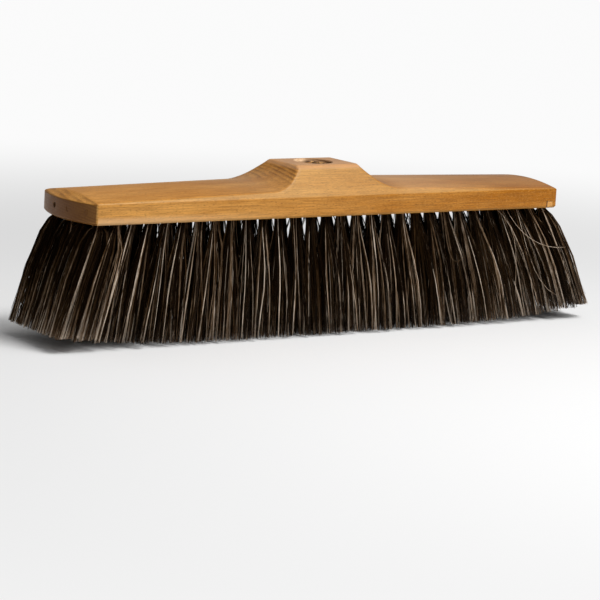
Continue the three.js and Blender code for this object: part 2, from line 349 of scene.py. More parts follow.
def socket_cutter():
    """The threaded hole as a closed skin: radius by height and angle."""
    sides, rows_per_pitch = 96, 14
    floor = HUB_HEIGHT - SOCKET_DEPTH
    over = 1.5
    rows = int((SOCKET_DEPTH + over) / THREAD_PITCH * rows_per_pitch)
    heights = np.linspace(floor, HUB_HEIGHT + over, rows)
    turn = np.arange(sides) * 2 * math.pi / sides
    height, angle = np.meshgrid(heights, turn, indexing="ij")
    phase = (height - floor - THREAD_RUNOUT) / THREAD_PITCH - angle / (2 * math.pi)
    from_groove = np.abs(phase - np.round(phase)) * THREAD_PITCH
    groove = np.clip(1 - from_groove / (THREAD_GROOVE_WIDTH / 2), 0.0, 1.0)
    groove *= smoothstep(height, floor + 0.5, floor + THREAD_RUNOUT + 1)
    radius = THREAD_MINOR_RADIUS + (THREAD_MAJOR_RADIUS - THREAD_MINOR_RADIUS) * groove
    radius = np.maximum(radius, COUNTERSINK_RADIUS + height - HUB_HEIGHT)
    rings = np.stack([radius * np.cos(angle), radius * np.sin(angle), height], axis=-1)
    points = np.concatenate([rings.reshape(-1, 3), [[0, 0, floor - DRILL_POINT], [0, 0, heights[-1]]]])
    faces = []
    for row in range(len(heights) - 1):
        faces += ring_faces((row + 1) * sides, row * sides, sides)
    last = (len(heights) - 1) * sides
    return points, faces + cap_faces(len(points) - 2, 0, len(points) - 1, last, sides)


def chip_cutter():
    """The chip as a closed skin, from below the block up to its height."""
    count = len(CHIP)
    points = [(x, y, -1.0) for x, y, _ in CHIP] + CHIP
    faces = ring_faces(0, count, count)
    faces += [tuple(range(count)), tuple(range(2 * count - 1, count - 1, -1))]
    return np.array(points), faces


def cut(body, cutter):
    """Takes the cutter out of the body and deletes it."""
    modifier = body.modifiers.new("cut", "BOOLEAN")
    modifier.operation = "DIFFERENCE"
    modifier.solver = "MANIFOLD"
    modifier.object = cutter
    evaluated = body.evaluated_get(bpy.context.evaluated_depsgraph_get())
    result = bpy.data.meshes.new_from_object(evaluated)
    body.modifiers.clear()
    body.data = result
    bpy.data.objects.remove(cutter)


def make_block(materials):
    """The block with its tuft holes, wire channels, threaded socket and chip."""
    block = mesh_object("beech_block", *block_skin())
    hole = (TUFT_HOLE_RADIUS, -3.0, TUFT_DEPTH)
    holes = [cylinder("z", *hole, (x, y), 28, TUFT_DRILL_POINT) for x in COLUMNS for y in ROWS]
    cut(block, joined("tuft_holes", holes))
    over = HALF_LENGTH + 5
    channels = [cylinder("x", CHANNEL_RADIUS, -over, over, (y, WIRE_HEIGHT), 40) for y in ROWS]
    cut(block, joined("channels", channels))
    cut(block, joined("socket", [socket_cutter()]))
    cut(block, joined("chip", [chip_cutter()]))
    block.data.materials.clear()
    for material in materials:
        block.data.materials.append(material)
    finish_shading(block)
    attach(block, "root")
    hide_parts("broom_block")


def face_table(mesh):
    """Every face's middle, in the block's own frame, and its normal."""
    centres = np.empty(len(mesh.polygons) * 3)
    mesh.polygons.foreach_get("center", centres)
    normals = np.empty(len(mesh.polygons) * 3)
    mesh.polygons.foreach_get("normal", normals)
    return centres.reshape(-1, 3) / MM - [CENTRE_X, 0.0, UNDERSIDE], normals.reshape(-1, 3)


def finish_shading(block):
    """Smooth faces with crisp edges; the socket, the drilled holes and the chip are bare wood.

    Material 0 is the lacquered wood, 1 the socket, 2 the drilled holes and the painted shade on the
    chip's left side, 3 the chip.
    """
    mesh = block.data
    centres, normals = face_table(mesh)
    x, y, z = centres.T
    radius = np.hypot(x, y)
    socket = (radius < COUNTERSINK_RADIUS) & (z > HUB_HEIGHT - SOCKET_DEPTH - 2)
    socket &= (normals[:, 2] < 0.95) | (z < HUB_HEIGHT - 2)
    slack = 0.05
    row_distance = np.min([np.hypot(y - row, z - WIRE_HEIGHT) for row in ROWS], axis=0)
    drilled_and_chip_shade = (row_distance < CHANNEL_RADIUS + slack) & (np.abs(normals[:, 0]) < 0.1)
    column_distance = np.min([np.abs(x - column) for column in COLUMNS], axis=0)
    to_row = np.min([np.abs(y - row) for row in ROWS], axis=0)
    in_tuft_hole = np.hypot(column_distance, to_row) < TUFT_HOLE_RADIUS + slack
    drilled_and_chip_shade |= in_tuft_hole & (z > slack) & (z < TUFT_DEPTH + TUFT_DRILL_POINT + slack)
    chip_x, _, chip_top = np.transpose(CHIP)
    chipped = (x > chip_x[0]) & (x < chip_x[-1]) & (z < chip_top.max()) & (y < -HALF_WIDTH + 1)
    chipped &= (y > -HALF_WIDTH + 0.02) & (z > 0.1) & (np.abs(normals[:, 2]) < 0.5)
    drilled_and_chip_shade |= chipped & (x < chip_x[2])  # the chip's shaded side
    chipped &= ~drilled_and_chip_shade
    material = np.select([socket, drilled_and_chip_shade, chipped], [1, 2, 3], 0)
    mesh.polygons.foreach_set("material_index", material.astype(np.int32))
    flat = normals[:, 2] < -0.9999
    mesh.polygons.foreach_set("use_smooth", ~flat)
    mesh.set_sharp_from_angle(angle=math.radians(38))
    mesh.update()


# ---- Hair ----------------------------------------------------------------------------------

HAIRS_PER_TUFT = 184
HAIRS_PER_END_TUFTS = (400, 280)  # in the last and the last but one, which stand freer
HAIRS_PER_STRAND = 4  # cling together
DARK_THICKNESS = (0.24, 0.38)
PALE_THICKNESS = (0.28, 0.42)
END_THICKER = 0.38  # share by which the end tufts' hairs are thicker
HAIR_SIDES = 3
HAIR_SHARES = np.array([-0.045, 0.08, 0.22, 0.42, 0.68, 1.0])  # of the hair, hole to tip
END_HAIR_SHARES = np.array([-0.045, 0.02, 0.07, 0.18, 0.5, 1.0])  # the same in the end tufts
OPENING_SHARE = 0.46  # of the hair, over which a tuft opens out
END_OPENING_SHARE = 0.07
RIGHT_OPENS_EARLIER = 0.12  # the same share is this much less on the right half's outer part
LOOSE_OPENING_SHARE = 0.15  # of the few strands that stand out from their tuft
OPENING_POWER = 1.9
LOCKS_ALONG, LOCKS_ACROSS = 3, 4
TIP_LENGTH, TIP_DEPTH = 15.0, 17.0  # spread of a tuft's tips along and across the row
END_TIP_GROWTH = [0.32, 0.15]  # shares by which this spread is larger in the end tufts
END_TUFT_SPREAD = 0.5  # share of it that the last tufts keep on their free side
OUTER_RISE = 9.0  # of the outer rows' tips, times the square of their place in the tuft
LOOSE_SHARE, LOOSE_SHARE_RIGHT = 0.035, 0.04  # of the strands; the second adds to it on the right
UNRULY_SHARE = 0.08
BROWN_SHARE = 0.25
BROWN_TONE = (0.25, 0.68)
PALER_TIP = (-0.3, 0.38)
LEFT_END_PALER = 0.45
CALM_ENDS = 0.5  # share of the bend and drift that the end tufts lose
PALE_SHARES = np.array([-0.045, 0.03, 0.08, 0.16, 0.28, 0.42, 0.6, 0.8, 1.0])
END_PALE_SHARES = np.array([-0.045, 0.01, 0.03, 0.06, 0.1, 0.17, 0.33, 0.65, 1.0])
STRAYS = [
    [
        (151, -28, 2),
        (158.8, -35.5, -12.9),
        (168.7, -36.9, -21.2),
        (184.1, -38.0, -27.4),
        (203, -38.2, -29.3),
    ],
    [(140, -28.5, 2), (155, -36, -22), (159, -39.4, -39.2), (154, -40.3, -48.7), (158, -41, -66)],
    [(160, -29, 2), (168, -36, -28), (176.8, -40.3, -49.7), (185.6, -40.9, -58.3), (195.5, -41, -64.6)],
    [(93, -29, 2), (95, -35, -20), (101.2, -39, -35.8), (108.8, -38.6, -32.5)],
]
STRAY_THICKNESS = [0.33, 0.33, 0.34, 0.28]
STRAY_TONES = [0.86, 0.82, 0.84, 0.68]


def tip_offset(x):
    """How far the tips of a tuft at x stand from it along the block, and from the floor."""
    share = np.abs(x) / ROW_REACH
    along = SWEEP + np.sign(x) * FAN_REACH * share**FAN_POWER
    return along, END_LIFT * share**LIFT_POWER


def fullness(x):
    """From nought in the middle of a row to one at its ends, where the tufts open out at once.

    The hair is swept to the right, so the tufts at the left end do so a little sooner.
    """
    return smoothstep(np.abs(x - SWEEP / 2) / ROW_REACH, 0.82, 1.0)


def shares_at(tuft_x, middle, end):
    """Shares of the length where hairs have their points: closer to the root in the end tufts."""
    return middle + (end - middle) * fullness(tuft_x)[:, None]


def opening(share, over):
    """How far a tuft has opened out at this share of its length."""
    return 1 - np.exp(-((np.maximum(share, 0) / over) ** OPENING_POWER))


def hair_curve(tuft_x, row_y, place, root, share, short, bend, drift, over=OPENING_SHARE):
    """Points along hairs that leave their tuft's hole at root and reach place in its spread tip."""
    tip_along, tip_up = tip_offset(tuft_x)
    full = fullness(tuft_x)[:, None]
    lean = 1.25 * share - 0.25 * share * np.abs(share)
    opened = opening(share, over + (END_OPENING_SHARE - over) * full)
    free = np.clip(share, 0, 1)
    outward = np.maximum(place[:, 1] * np.sign(row_y), 0)
    fall = UNDERSIDE - tip_up - short - OUTER_RISE * outward**2 * (abs(row_y) > ROW_SPACING)
    away = place * [TIP_LENGTH, TIP_DEPTH] * (1 + full * END_TIP_GROWTH) - root
    tip_y = ROW_LEAN * row_y / OUTER_ROW
    x = tuft_x[:, None] + root[:, :1] + lean * tip_along[:, None] + opened * away[:, :1]
    y = row_y + root[:, 1:] + lean * tip_y + opened * away[:, 1:]
    bowed = np.sin(math.pi * free) ** 2
    x = x + bend[:, :1] * bowed + drift[:, :1] * free**2
    y = y + bend[:, 1:] * bowed + drift[:, 1:] * free**2
    return np.stack([x, y, -share * fall[:, None]], axis=-1)


def rounded(place):
    """Moves places in a square into the circle that it holds."""
    reach = np.maximum(np.hypot(*place.T), 1e-6)
    return place * (np.abs(place).max(1) / reach)[:, None]


def in_hole(place):
    """Where hairs with these places in the spread tuft stand in its round hole."""
    root = rounded(place) * 2 * (TUFT_HOLE_RADIUS - 0.4)
    reach = np.maximum(np.hypot(*root.T), 1e-6)
    return root * np.minimum(1, (TUFT_HOLE_RADIUS - 0.3) / reach)[:, None]


def strand_places(random, tuft):
    """Where each strand ends in its spread tuft, with the bend of the lock that it belongs to."""
    count, locks = len(tuft), LOCKS_ALONG * LOCKS_ACROSS
    lock = random.integers(0, locks, count)
    cell = np.stack([lock % LOCKS_ALONG, lock // LOCKS_ALONG], -1) + 0.5
    cell = (cell / [LOCKS_ALONG, LOCKS_ACROSS] - 0.5) * 1.15
    jitter = random.uniform(-0.3, 0.3, (TUFT_COLUMNS, locks, 2))[tuft, lock]
    jitter = (jitter + random.normal(0, 0.34, (count, 2))) / [LOCKS_ALONG, LOCKS_ACROSS]
    place = np.clip(cell + jitter, -0.52, 0.52)
    last = ((tuft == 0) & (place[:, 0] < 0)) | ((tuft == TUFT_COLUMNS - 1) & (place[:, 0] > 0))
    place[last] = rounded(place[last]) * [END_TUFT_SPREAD, 1.0]
    lock_bend = random.normal(0, 0.9, (TUFT_COLUMNS, locks, 2))[tuft, lock]
    return place, lock_bend, random.normal(0, 0.06, (TUFT_COLUMNS, locks))[tuft, lock]


def dark_strands(random, strand_tuft):
    """Every strand's place, bend, drift, opening share, shortening and tones at root and tip."""
    strands = len(strand_tuft)
    strand_x = np.asarray(COLUMNS)[strand_tuft]
    place, lock_bend, lock_tone = strand_places(random, strand_tuft)
    calm = 1 - CALM_ENDS * fullness(strand_x)[:, None]
    bend = (lock_bend + random.normal(0, 1.1, (strands, 2))) * calm
    drift = random.normal(0, 0.8, (strands, 2)) * calm
    far_right = smoothstep(strand_x, 50.0, 90.0)
    loose = random.random(strands) < LOOSE_SHARE + LOOSE_SHARE_RIGHT * far_right
    over = OPENING_SHARE - RIGHT_OPENS_EARLIER * far_right
    over = np.where(loose, LOOSE_OPENING_SHARE, over)
    unruly = random.random(strands) < UNRULY_SHARE
    bend[unruly] += random.normal(0, 2.2, (unruly.sum(), 2)) * calm[unruly]
    short = random.exponential(0.3, strands)
    tone = 0.07 + lock_tone + random.normal(0, 0.1, strands)
    tone += 0.05 * strand_x / ROW_REACH
    brown = random.random(strands) < BROWN_SHARE
    tone = np.where(brown, tone + random.uniform(*BROWN_TONE, strands), tone)
    paler_tip = random.uniform(*PALER_TIP, strands)
    paler_tip += LEFT_END_PALER * fullness(strand_x) * (strand_x < 0)
    return place, bend, drift, over, short, tone, paler_tip


def dark_hairs(random, row_y):
    """Points along every dark hair of a row, with each hair's thickness and tones."""
    hairs = np.full(TUFT_COLUMNS, HAIRS_PER_TUFT)
    hairs[[0, -1]], hairs[[1, -2]] = HAIRS_PER_END_TUFTS
    strand_tuft = np.repeat(np.arange(TUFT_COLUMNS), hairs // HAIRS_PER_STRAND)
    place, bend, drift, over, short, tone, paler_tip = dark_strands(random, strand_tuft)

    strand = np.repeat(np.arange(len(strand_tuft)), HAIRS_PER_STRAND)
    count = len(strand)
    tuft_x = np.asarray(COLUMNS)[strand_tuft[strand]]
    spread = place[strand] + random.normal(0, 0.016, (count, 2))
    root = in_hole(np.clip(place[strand] + random.normal(0, 0.1, (count, 2)), -0.5, 0.5))
    share = shares_at(tuft_x, HAIR_SHARES, END_HAIR_SHARES)
    bend = bend[strand] + random.normal(0, 0.25, (count, 2))
    drift = drift[strand] + random.normal(0, 0.15, (count, 2))
    short = short[strand] + random.exponential(0.2, count)
    short += random.uniform(1, 9, count) * (random.random(count) < 0.02)
    over = over[strand, None]
    paths = hair_curve(tuft_x, row_y, spread, root, share, short, bend, drift, over)
    tones = (tone[strand] + random.normal(0, 0.05, count))[:, None]
    tones = tones + paler_tip[strand, None] * np.clip(share, 0, 1) ** 1.5
    tones[:, -1] += random.uniform(0, 0.4, count) * (random.random(count) < 0.3)
    thickness = random.uniform(*DARK_THICKNESS, count) * (1 + END_THICKER * fullness(tuft_x))
    return paths, thickness, np.clip(tones, 0, 1)


def pale_and_highlight_wisps(random, row_y):
    """The tuft, place, number of hairs and tone of every pale wisp of a row.

    The palest start at the outer edge of the outer rows' tufts, as painted highlight along that lit
    edge; the rest are pale hairs of the mix, most on the outer side. In the end tufts they are kept
    in, so that none stands out at the row's end.
    """
    outside = 1 if row_y > 0 else -1
    is_outer = abs(row_y) > ROW_SPACING
    wisps = []
    for x in COLUMNS:
        lean_side = 1 if x + SWEEP > 0 else -1
        at_end = abs(x) > ROW_REACH - TUFT_PITCH / 2
        reach, deep = (0.35, 0.72) if at_end else (1.0, 1.0)
        # Painted highlight: the palest wisps lie along the outer, leaning edge of each outer-row tuft,
        # where light catches it.
        if is_outer:
            along = lean_side * reach * random.uniform(0.36, 0.5)
            across = outside * deep * random.uniform(0.46, 0.56)
            wisps.append((x, (along, across), random.integers(2, 5), random.uniform(0.82, 1.0)))
        # Pale hairs of the mix, kept to the tuft's outer side, where they also add to its painted
        # highlight.
        for _ in range(random.integers(0, 3)):
            along = reach * random.uniform(-0.5, 0.5)
            across = outside * deep * random.uniform(0.3, 0.55)
            wisps.append((x, (along, across), random.integers(1, 4), random.uniform(0.6, 0.95)))
        for _ in range(random.integers(2, 5)):
            along = reach * random.uniform(-0.52, 0.52)
            across = reach * random.uniform(-0.52, 0.52)
            wisps.append((x, (along, across), 1, random.uniform(0.55, 0.9)))
    return wisps


def pale_and_highlight_hairs(random, row_y):
    """Points along every pale hair of a row, with each hair's thickness and tones."""
    wisps = pale_and_highlight_wisps(random, row_y)
    wisp_x, wisp_place, hairs, wisp_tone = map(np.array, zip(*wisps))
    wisp = np.repeat(np.arange(len(wisps)), hairs)
    count = len(wisp)
    tuft_x, place = wisp_x[wisp], wisp_place[wisp]
    tone = wisp_tone[wisp] + random.normal(0, 0.04, count)
    root = in_hole(np.clip(place, -0.5, 0.5))
    bend = random.normal(0, 1.0, (len(wisps), 2))[wisp] + random.normal(0, 0.16, (count, 2))
    drift = random.normal(0, 0.8, (len(wisps), 2))[wisp] + random.normal(0, 0.2, (count, 2))
    place = place + random.normal(0, 0.014, (count, 2))
    short = random.exponential(0.5, count)
    share = shares_at(tuft_x, PALE_SHARES, END_PALE_SHARES)
    paths = hair_curve(tuft_x, row_y, place, root, share, short, bend, drift)
    tones = np.repeat(np.clip(tone, 0, 1)[:, None], len(PALE_SHARES), axis=1)
    return paths, random.uniform(*PALE_THICKNESS, count), tones


def smooth_path(points, count):
    """A smooth curve through a few points, as evenly spaced points."""
    points = np.asarray(points, float)
    reach = np.concatenate([[0], np.cumsum(np.linalg.norm(np.diff(points, axis=0), axis=1))])
    curves = [np.polyfit(reach, points[:, axis], min(3, len(points) - 1)) for axis in range(3)]
    places = np.linspace(0, reach[-1], count)
    return np.stack([np.polyval(curve, places) for curve in curves], axis=-1)


def stray_hairs():
    """The few hairs of the front row that curl out of it."""
    paths = np.array([smooth_path(points, len(PALE_SHARES)) for points in STRAYS])
    tones = np.repeat(np.array(STRAY_TONES)[:, None], len(PALE_SHARES), axis=1)
    return paths, np.array(STRAY_THICKNESS), tones


def tube_points(paths, thickness, taper=0.55):
    """Rings of points round every path, narrower at the tip by the taper."""
    ahead = np.gradient(paths, axis=1)
    ahead /= np.linalg.norm(ahead, axis=2, keepdims=True)
    side = np.cross(ahead, [0.0, 1.0, 0.0])
    side /= np.linalg.norm(side, axis=2, keepdims=True)
    other = np.cross(ahead, side)
    width = np.ones(paths.shape[1])
    width[-1] = taper
    radius = (thickness[:, None] * width)[..., None, None] / 2
    turn = (np.arange(HAIR_SIDES) * 2 * math.pi / HAIR_SIDES + 0.5)[None, None, :, None]
    ring = np.cos(turn) * side[:, :, None] + np.sin(turn) * other[:, :, None]
    return paths[:, :, None] + ring * radius


def tube_faces(rings):
    """Faces of one tube, its sides and then its two caps, with a place in the map per corner."""
    corners, map_places, starts = [], [], []
    inset, far = 0.12, 0.88
    for r in range(rings - 1):
        for s in range(HAIR_SIDES):
            following = (s + 1) % HAIR_SIDES
            corners += [r * HAIR_SIDES + s, (r + 1) * HAIR_SIDES + s]
            corners += [(r + 1) * HAIR_SIDES + following, r * HAIR_SIDES + following]
            left, right = (inset + (far - inset) * k / HAIR_SIDES for k in (s, s + 1))
            low, high = (inset + (far - inset) * k / (rings - 1) for k in (r, r + 1))
            map_places += [(left, low), (left, high), (right, high), (right, low)]
            starts.append(len(starts) * 4)
    side_loops = len(corners)
    corners += list(range(HAIR_SIDES))
    map_places += [(0.3, 0.03), (0.7, 0.03), (0.5, 0.09)]
    corners += [(rings - 1) * HAIR_SIDES + s for s in range(HAIR_SIDES - 1, -1, -1)]
    map_places += [(0.3, 0.97), (0.7, 0.97), (0.5, 0.91)]
    starts += [side_loops, side_loops + HAIR_SIDES]
    return np.array(corners), np.array(map_places), np.array(starts)


def tube_mesh(name, paths, thickness, tones):
    """One closed thin tube along each path, with a tone on every point."""
    count, rings = paths.shape[:2]
    points = tube_points(paths, thickness)
    corners, map_places, starts = tube_faces(rings)
    hair = np.arange(count)
    mesh = bpy.data.meshes.new(name)
    mesh.vertices.add(count * rings * HAIR_SIDES)
    mesh.vertices.foreach_set("co", to_row_frame(points.reshape(-1, 3)).ravel())
    all_corners = (corners[None, :] + hair[:, None] * rings * HAIR_SIDES).ravel()
    mesh.loops.add(len(all_corners))
    mesh.loops.foreach_set("vertex_index", all_corners)
    all_starts = (starts[None, :] + hair[:, None] * len(corners)).ravel()
    mesh.polygons.add(len(all_starts))
    mesh.polygons.foreach_set("loop_start", all_starts)
    mesh.polygons.foreach_set("use_smooth", np.ones(len(all_starts), bool))
    cells = math.ceil(math.sqrt(count))
    origin = np.stack([hair % cells, hair // cells], -1)
    places = (origin[:, None] + map_places[None]) / cells
    layer = mesh.uv_layers.new(name="OFBake")
    layer.uv.foreach_set("vector", places.ravel())
    tone = mesh.attributes.new("tone", "FLOAT", "POINT")
    tone.data.foreach_set("value", np.repeat(tones, HAIR_SIDES, axis=1).ravel())
    mesh.update(calc_edges=True)
    mesh.validate()
    return add_object(name, mesh)


def make_hair(name, number, hairs, material):
    paths, thickness, tones = hairs
    piece = tube_mesh(name, paths, thickness, tones)
    piece.data.materials.append(material)
    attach(piece, "root")
    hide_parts(f"bristle_row_{number}")


def make_row(number, material):
    random = np.random.default_rng(SEED + number)
    row_y = ROWS[number - 1]
    make_hair(f"hair_row_{number}", number, dark_hairs(random, row_y), material)
    make_hair(f"pale_and_highlight_hair_row_{number}", number, pale_and_highlight_hairs(random, row_y), material)
    if number == 1:
        make_hair("stray_hairs", number, stray_hairs(), material)


# ---- Pegs ----------------------------------------------------------------------------------

PEG_SIDES = 48
PEG_EDGE = 0.25
SUNK = {"peg_left_2": 0.3, "peg_left_3": 1.6}  # deeper than the rest


def make_peg(name, material):
    """A turned wooden plug in the end of a wire channel, sanded to the block's bowed end."""
    low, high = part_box(name)
    side = -1 if high.x / MM < CENTRE_X else 1
    inner = (high.x if side < 0 else low.x) / MM - CENTRE_X
    centre_y, centre_z = (low.y + high.y) / 2 / MM, WIRE_HEIGHT
    radius = (high.z - low.z) / 2 / MM
    sunk = SUNK.get(name, 0.0)
    turn = np.arange(PEG_SIDES) * 2 * math.pi / PEG_SIDES
    rings = [(radius - PEG_EDGE, "inner", 0.0), (radius, "inner", PEG_EDGE)]
    rings += [(radius, "outer", PEG_EDGE / 4), (radius - PEG_EDGE / 4, "outer", 0.0)]
    rings += [(radius / 2, "outer", 0.0)]
    points = []
    for ring_radius, end, inset in rings:
        y = centre_y + ring_radius * np.cos(turn)
        z = centre_z + ring_radius * np.sin(turn)
        if end == "inner":
            x = np.full(PEG_SIDES, inner + side * inset)
        else:
            x = side * (BOW_CENTRE + np.sqrt(BOW_RADIUS**2 - y**2) - inset - sunk)
        points.append(np.stack([x, y, z], axis=-1))
    face_x = side * (BOW_CENTRE + math.sqrt(BOW_RADIUS**2 - centre_y**2) - sunk)
    points.append([[inner, centre_y, centre_z], [face_x, centre_y, centre_z]])
    faces = []
    for ring in range(len(rings) - 1):
        faces += ring_faces(ring * PEG_SIDES, (ring + 1) * PEG_SIDES, PEG_SIDES)
    inner_tip, last = len(rings) * PEG_SIDES, (len(rings) - 1) * PEG_SIDES
    faces += cap_faces(inner_tip + 1, last, inner_tip, 0, PEG_SIDES)
    if side > 0:
        faces = [face[::-1] for face in faces]
    peg = mesh_object(f"plug_{name}", np.concatenate(points), faces)
    peg.data.polygons.foreach_set("use_smooth", np.ones(len(faces), bool))
    peg.data.set_sharp_from_angle(angle=math.radians(40))
    peg.data.materials.append(material)
    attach(peg, "root")
    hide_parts(name)


# ---- Materials -----------------------------------------------------------------------------


class Graph:
    """The node tree of one material, built up by short calls."""

    def __init__(self, name):
        self.material = bpy.data.materials.new(name)
        self.material.use_nodes = True
        self.tree = self.material.node_tree
        self.surface = self.tree.nodes["Principled BSDF"]

    def feed(self, socket, value):
        if isinstance(value, bpy.types.NodeSocket):
            self.tree.links.new(value, socket)
        elif value is not None:
            socket.default_value = value

    def node(self, kind, inputs=None, **settings):
        made = self.tree.nodes.new(kind)
        for name, value in settings.items():
            setattr(made, name, value)
        for name, value in (inputs or {}).items():
            self.feed(made.inputs[name], value)
        return made

    def maths(self, operation, a, b=0.0):
        return self.node("ShaderNodeMath", {0: a, 1: b}, operation=operation).outputs[0]

    def times(self, a, b):
        return self.maths("MULTIPLY", a, b)

    def split(self, vector):
        """The x, y and z sockets of a vector."""
        return self.node("ShaderNodeSeparateXYZ", {0: vector}).outputs

    def blend(self, share, a, b):
        made = self.node("ShaderNodeMix", data_type="RGBA")
        for index, value in ((0, share), (6, a), (7, b)):
            self.feed(made.inputs[index], value)
        return made.outputs[2]

    def rescale(self, value, low, high, to_low=0.0, to_high=1.0):
        made = self.node("ShaderNodeMapRange", interpolation_type="SMOOTHSTEP")
        for index, item in enumerate((value, low, high, to_low, to_high)):
            self.feed(made.inputs[index], item)
        return made.outputs[0]

    def noise(self, vector, scale, detail=2.0, roughness=0.5):
        inputs = {"Vector": vector, "Scale": scale, "Detail": detail, "Roughness": roughness}
        return self.node("ShaderNodeTexNoise", inputs).outputs["Fac"]

    def place(self):
        """The point in the row frame, in metres."""
        return self.node("ShaderNodeTexCoord").outputs["Object"]

    def stretched(self, vector, scale, offset=(0, 0, 0)):
        inputs = {"Vector": vector, "Scale": scale, "Location": offset}
        return self.node("ShaderNodeMapping", inputs).outputs["Vector"]

    def ramp(self, share, stops):
        made = self.node("ShaderNodeValToRGB", {"Fac": share})
        elements = made.color_ramp.elements
        while len(elements) < len(stops):
            elements.new(0.5)
        for element, (position, colour) in zip(elements, stops):
            element.position = position
            element.color = (*colour, 1.0)
        return made.outputs["Color"]

    def bump(self, height, strength, distance, normal=None):
        inputs = {"Height": height, "Strength": strength, "Distance": distance, "Normal": normal}
        return self.node("ShaderNodeBump", inputs).outputs["Normal"]

    def finish(self, colour, roughness, normal=None, **plain):
        self.feed(self.surface.inputs["Base Color"], colour)
        self.feed(self.surface.inputs["Roughness"], roughness)
        self.feed(self.surface.inputs["Normal"], normal)
        for name, value in plain.items():
            self.surface.inputs[name.replace("_", " ")].default_value = value
        return self.material


HONEY, AMBER, BROWN = (0.7, 0.335, 0.074, 1), (0.42, 0.14, 0.003, 1), (0.1, 0.033, 0.005, 1)
# Dark bare wood in the drilled holes; also painted shade on the chip's left side.
DARK_BARE = (0.2, 0.1, 0.045, 1), (0.13, 0.06, 0.025, 1), (0.05, 0.022, 0.01, 1)
FRESH = (0.85, 0.47, 0.16, 1), (0.7, 0.33, 0.08, 1), (0.3, 0.13, 0.03, 1)
RUBBED = (0.85, 0.5, 0.28, 1)
# Paler colour on the right arm's top.
PALE_ARM_TOP = (0.85, 0.5, 0.25, 1)
# Painted light off the floor on the lower part of the sides.
FOOT_HIGHLIGHT = (0.85, 0.58, 0.33, 1)
# Painted sheen on the sloped faces, such as the hub's front.
SLOPE_SHEEN = (0.52, 0.375, 0.135, 1)
REDDER = (0.42, 0.12, 0.003, 1)
# Painted shade in the socket's threads.
THREAD_SHADE = (0.09, 0.045, 0.016, 1)
HEART_Y, HEART_Z = 0.03, -0.25  # of the tree, in metres in the row frame
LAYER_WIDTH = 0.0019
LAYER_WANDER = 0.002


def late_wood(g, place):
    """Dark share of the growth layers: rings round a heart well below the block."""
    _, y, z = g.split(place)
    y, z = g.maths("SUBTRACT", y, HEART_Y), g.maths("SUBTRACT", z, HEART_Z)
    far = g.maths("SQRT", g.maths("ADD", g.times(y, y), g.times(z, z)))
    wander = g.noise(g.stretched(place, (5, 25, 25)), 1.0, 3.0)
    far = g.maths("ADD", far, g.times(wander, LAYER_WANDER))
    layer = g.maths("FRACT", g.maths("DIVIDE", far, LAYER_WIDTH))
    late = g.times(g.rescale(layer, 0.1, 0.8), g.rescale(layer, 1.0, 0.86))
    band = g.rescale(g.noise(g.stretched(place, (8, 60, 160)), 1.0, 2.0), 0.35, 0.65)
    return g.times(late, g.rescale(band, 0.0, 1.0, 0.35, 1.0))


def tone_and_painted_falloff(g, place, x, right_arm):
    """Share of the deep colour, which grows towards the board's right end: partly the wood's own tone,
    partly painted fall-off of the light, darker towards the right.
    """
    # Painted fall-off of the light along the block, together with the wood's own tone.
    along = g.times(g.rescale(x, -0.22, 0.2), 0.76)
    patches = g.noise(g.stretched(place, (12, 70, 70)), 1.0, 4.0, 0.6)
    tone = g.maths("ADD", along, g.rescale(patches, 0.3, 0.7, -0.15, 0.4))
    tone = g.maths("SUBTRACT", tone, g.times(right_arm, 0.18))
    return g.maths("MAXIMUM", tone, 0.0)


def wear_and_painted_light(g, colour, place, facing, cut_across, right_arm, dark):
    """The rubbed hub top; a paler top on the right arm and a redder one on the left; painted sheen on
    sloped faces, painted light low on the sides and painted shade where the ends face down.
    """
    x, _, z = g.split(place)
    _, sideways, up = facing
    top = (UNDERSIDE + HUB_HEIGHT) * MM
    rubbed = g.rescale(z, top - 0.0035, top - 0.0015)
    colour = g.blend(g.times(rubbed, 0.35), colour, RUBBED)
    sideways = g.maths("ABSOLUTE", sideways)
    # Painted sheen on sloped faces, such as the hub's front.
    slope_sheen = g.times(g.rescale(sideways, 0.55, 0.7), g.rescale(sideways, 0.9, 0.8))
    colour = g.blend(g.times(slope_sheen, 0.2), colour, SLOPE_SHEEN)
    # Painted light off the floor low on the sides, strongest towards the left end.
    foot = g.rescale(z, (UNDERSIDE + 6.5) * MM, (UNDERSIDE + 2.5) * MM)
    foot = g.times(foot, g.rescale(x, -0.2, -0.03, 0.4, 0.0))
    foot = g.times(foot, g.rescale(cut_across, 0.3, 0.1))
    colour = g.blend(foot, colour, FOOT_HIGHLIGHT)
    # A paler patch on the up-facing top of the right arm.
    pale_arm_top = g.times(right_arm, g.rescale(up, 0.5, 0.95, 0.0, 0.24))
    colour = g.blend(pale_arm_top, colour, PALE_ARM_TOP)
    # Painted shade where the ends face down.
    end_down_shade = g.rescale(cut_across, 0.3, 0.6, 0.0, 0.85)
    colour = g.blend(g.times(g.rescale(up, -0.3, -0.6), end_down_shade), colour, dark)
    left_top = g.times(g.rescale(up, 0.85, 0.97), g.rescale(x, -0.06, -0.12))
    return g.blend(g.times(left_top, 0.16), colour, REDDER)


